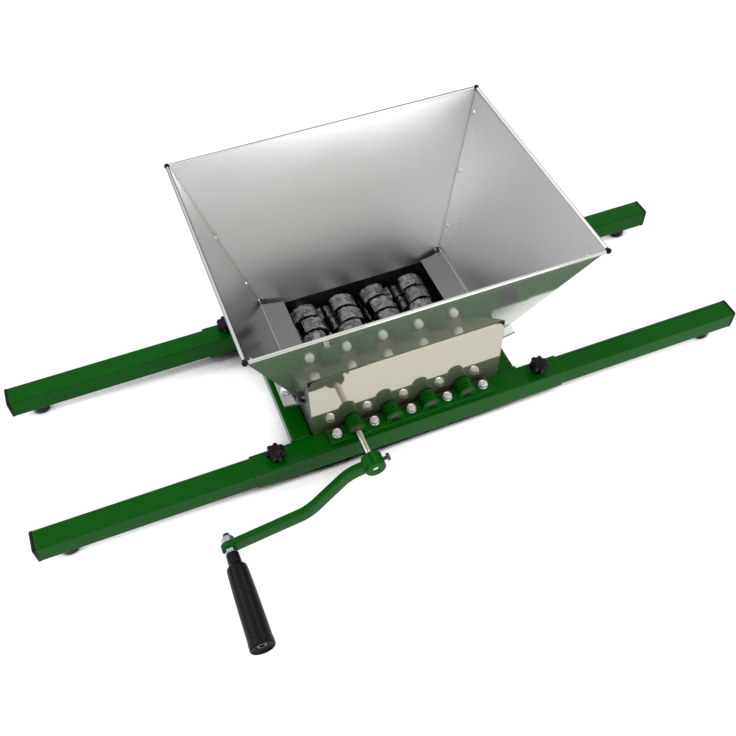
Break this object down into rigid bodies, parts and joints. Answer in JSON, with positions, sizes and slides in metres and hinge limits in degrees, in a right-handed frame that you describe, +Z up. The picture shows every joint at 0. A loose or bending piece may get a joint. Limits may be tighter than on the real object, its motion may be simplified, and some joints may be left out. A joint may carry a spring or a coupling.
{
  "type": "apple scratter",
  "caption": "Hand cranked fruit mill with a sheet steel hopper over geared crushing rollers, on rails with sliding arms that span a tub.",
  "frame": {"origin": "middle of the bounding box on the plane that the feet stand on", "axes": "+X along the rails to the right, -Y the crank side, +Z up"},
  "size_m": [0.921, 0.4708, 0.2887],
  "materials": {
    "green_paint": "gloss",
    "stainless_sheet": "satin",
    "cast_iron": "rough",
    "zinc_plate": "bright",
    "bright_steel": "satin",
    "bronze": "satin",
    "black_plastic": "satin"
  },
  "bodies": {
    "frame": {"front_rail": "green_paint", "rear_rail": "green_paint", "left_crossbar": "green_paint", "right_crossbar": "green_paint", "throat_front_plate": "stainless_sheet", "throat_rear_plate": "stainless_sheet", "throat_left_wall": "stainless_sheet", "throat_right_wall": "stainless_sheet", "left_guard": "stainless_sheet", "right_guard": "stainless_sheet", "hopper_front_panel": "stainless_sheet", "hopper_rear_panel": "stainless_sheet", "hopper_left_panel": "stainless_sheet", "hopper_right_panel": "stainless_sheet", "hopper_rivets": "zinc_plate", "rim_corner_caps": "black_plastic", "hopper_bolts": "zinc_plate", "hopper_nuts": "zinc_plate", "front_bearing_strip": "green_paint", "rear_bearing_strip": "green_paint", "bearing_bolts": "zinc_plate", "bearing_bushes": "bronze", "washers": "zinc_plate"},
    "front_left_arm": {"front_left_arm": "green_paint", "front_left_cap": "black_plastic", "front_left_foot": "black_plastic"},
    "front_right_arm": {"front_right_arm": "green_paint", "front_right_cap": "black_plastic", "front_right_foot": "black_plastic"},
    "rear_left_arm": {"rear_left_arm": "green_paint", "rear_left_cap": "black_plastic", "rear_left_foot": "black_plastic"},
    "rear_right_arm": {"rear_right_arm": "green_paint", "rear_right_cap": "black_plastic", "rear_right_foot": "black_plastic"},
    "front_left_clamp": {"front_left_knob": "black_plastic", "front_left_stud": "bright_steel"},
    "front_right_clamp": {"front_right_knob": "black_plastic", "front_right_stud": "bright_steel"},
    "rear_left_clamp": {"rear_left_knob": "black_plastic", "rear_left_stud": "bright_steel"},
    "rear_right_clamp": {"rear_right_knob": "black_plastic", "rear_right_stud": "bright_steel"},
    "drive_roller": {"drive_shaft": "bright_steel", "drive_wheels": "cast_iron", "drive_gear": "cast_iron", "crank_arm": "green_paint", "crank_set_screw": "bright_steel", "handle_bolt": "bright_steel", "handle_nuts": "zinc_plate"},
    "second_roller": {"second_shaft": "bright_steel", "second_wheels": "cast_iron", "second_gear": "cast_iron"},
    "third_roller": {"third_shaft": "bright_steel", "third_wheels": "cast_iron", "third_gear": "cast_iron"},
    "fourth_roller": {"fourth_shaft": "bright_steel", "fourth_wheels": "cast_iron", "fourth_gear": "cast_iron"},
    "grip": {"grip": "black_plastic"}
  },
  "joints": [
    {"name": "front_left_arm_slide", "type": "slide", "parent": "frame", "child": "front_left_arm", "axis": [-1, 0, 0], "range_m": [-0.14, 0.01]},
    {"name": "front_right_arm_slide", "type": "slide", "parent": "frame", "child": "front_right_arm", "axis": [1, 0, 0], "range_m": [-0.14, 0.01]},
    {"name": "rear_left_arm_slide", "type": "slide", "parent": "frame", "child": "rear_left_arm", "axis": [-1, 0, 0], "range_m": [-0.14, 0.01]},
    {"name": "rear_right_arm_slide", "type": "slide", "parent": "frame", "child": "rear_right_arm", "axis": [1, 0, 0], "range_m": [-0.14, 0.01]},
    {"name": "front_left_clamp_turn", "type": "hinge", "parent": "frame", "child": "front_left_clamp", "pos_m": [-0.172, -0.02998, 0.045], "axis": [0, 0, 1], "range_deg": [0, 720]},
    {"name": "front_right_clamp_turn", "type": "hinge", "parent": "frame", "child": "front_right_clamp", "pos_m": [0.172, -0.02998, 0.045], "axis": [0, 0, 1], "range_deg": [0, 720]},
    {"name": "rear_left_clamp_turn", "type": "hinge", "parent": "frame", "child": "rear_left_clamp", "pos_m": [-0.172, 0.18532, 0.045], "axis": [0, 0, 1], "range_deg": [0, 720]},
    {"name": "rear_right_clamp_turn", "type": "hinge", "parent": "frame", "child": "rear_right_clamp", "pos_m": [0.172, 0.18532, 0.045], "axis": [0, 0, 1], "range_deg": [0, 720]},
    {"name": "crank_turn", "type": "hinge", "parent": "frame", "child": "drive_roller", "pos_m": [-0.072, 0.07767, 0.054], "axis": [0, 1, 0], "continuous": true},
    {"name": "second_roller_turn", "type": "hinge", "parent": "frame", "child": "second_roller", "pos_m": [-0.024, 0.07767, 0.054], "axis": [0, 1, 0], "continuous": true},
    {"name": "third_roller_turn", "type": "hinge", "parent": "frame", "child": "third_roller", "pos_m": [0.024, 0.07767, 0.054], "axis": [0, 1, 0], "continuous": true},
    {"name": "fourth_roller_turn", "type": "hinge", "parent": "frame", "child": "fourth_roller", "pos_m": [0.072, 0.07767, 0.054], "axis": [0, 1, 0], "continuous": true},
    {"name": "grip_turn", "type": "hinge", "parent": "drive_roller", "child": "grip", "pos_m": [-0.25545, -0.17533, 0.0233], "axis": [0, 1, 0], "continuous": true}
  ],
  "couplings": [
    {"joint": "second_roller_turn", "follows": "crank_turn", "ratio": -1},
    {"joint": "third_roller_turn", "follows": "crank_turn", "ratio": 1},
    {"joint": "fourth_roller_turn", "follows": "crank_turn", "ratio": -1}
  ]
}
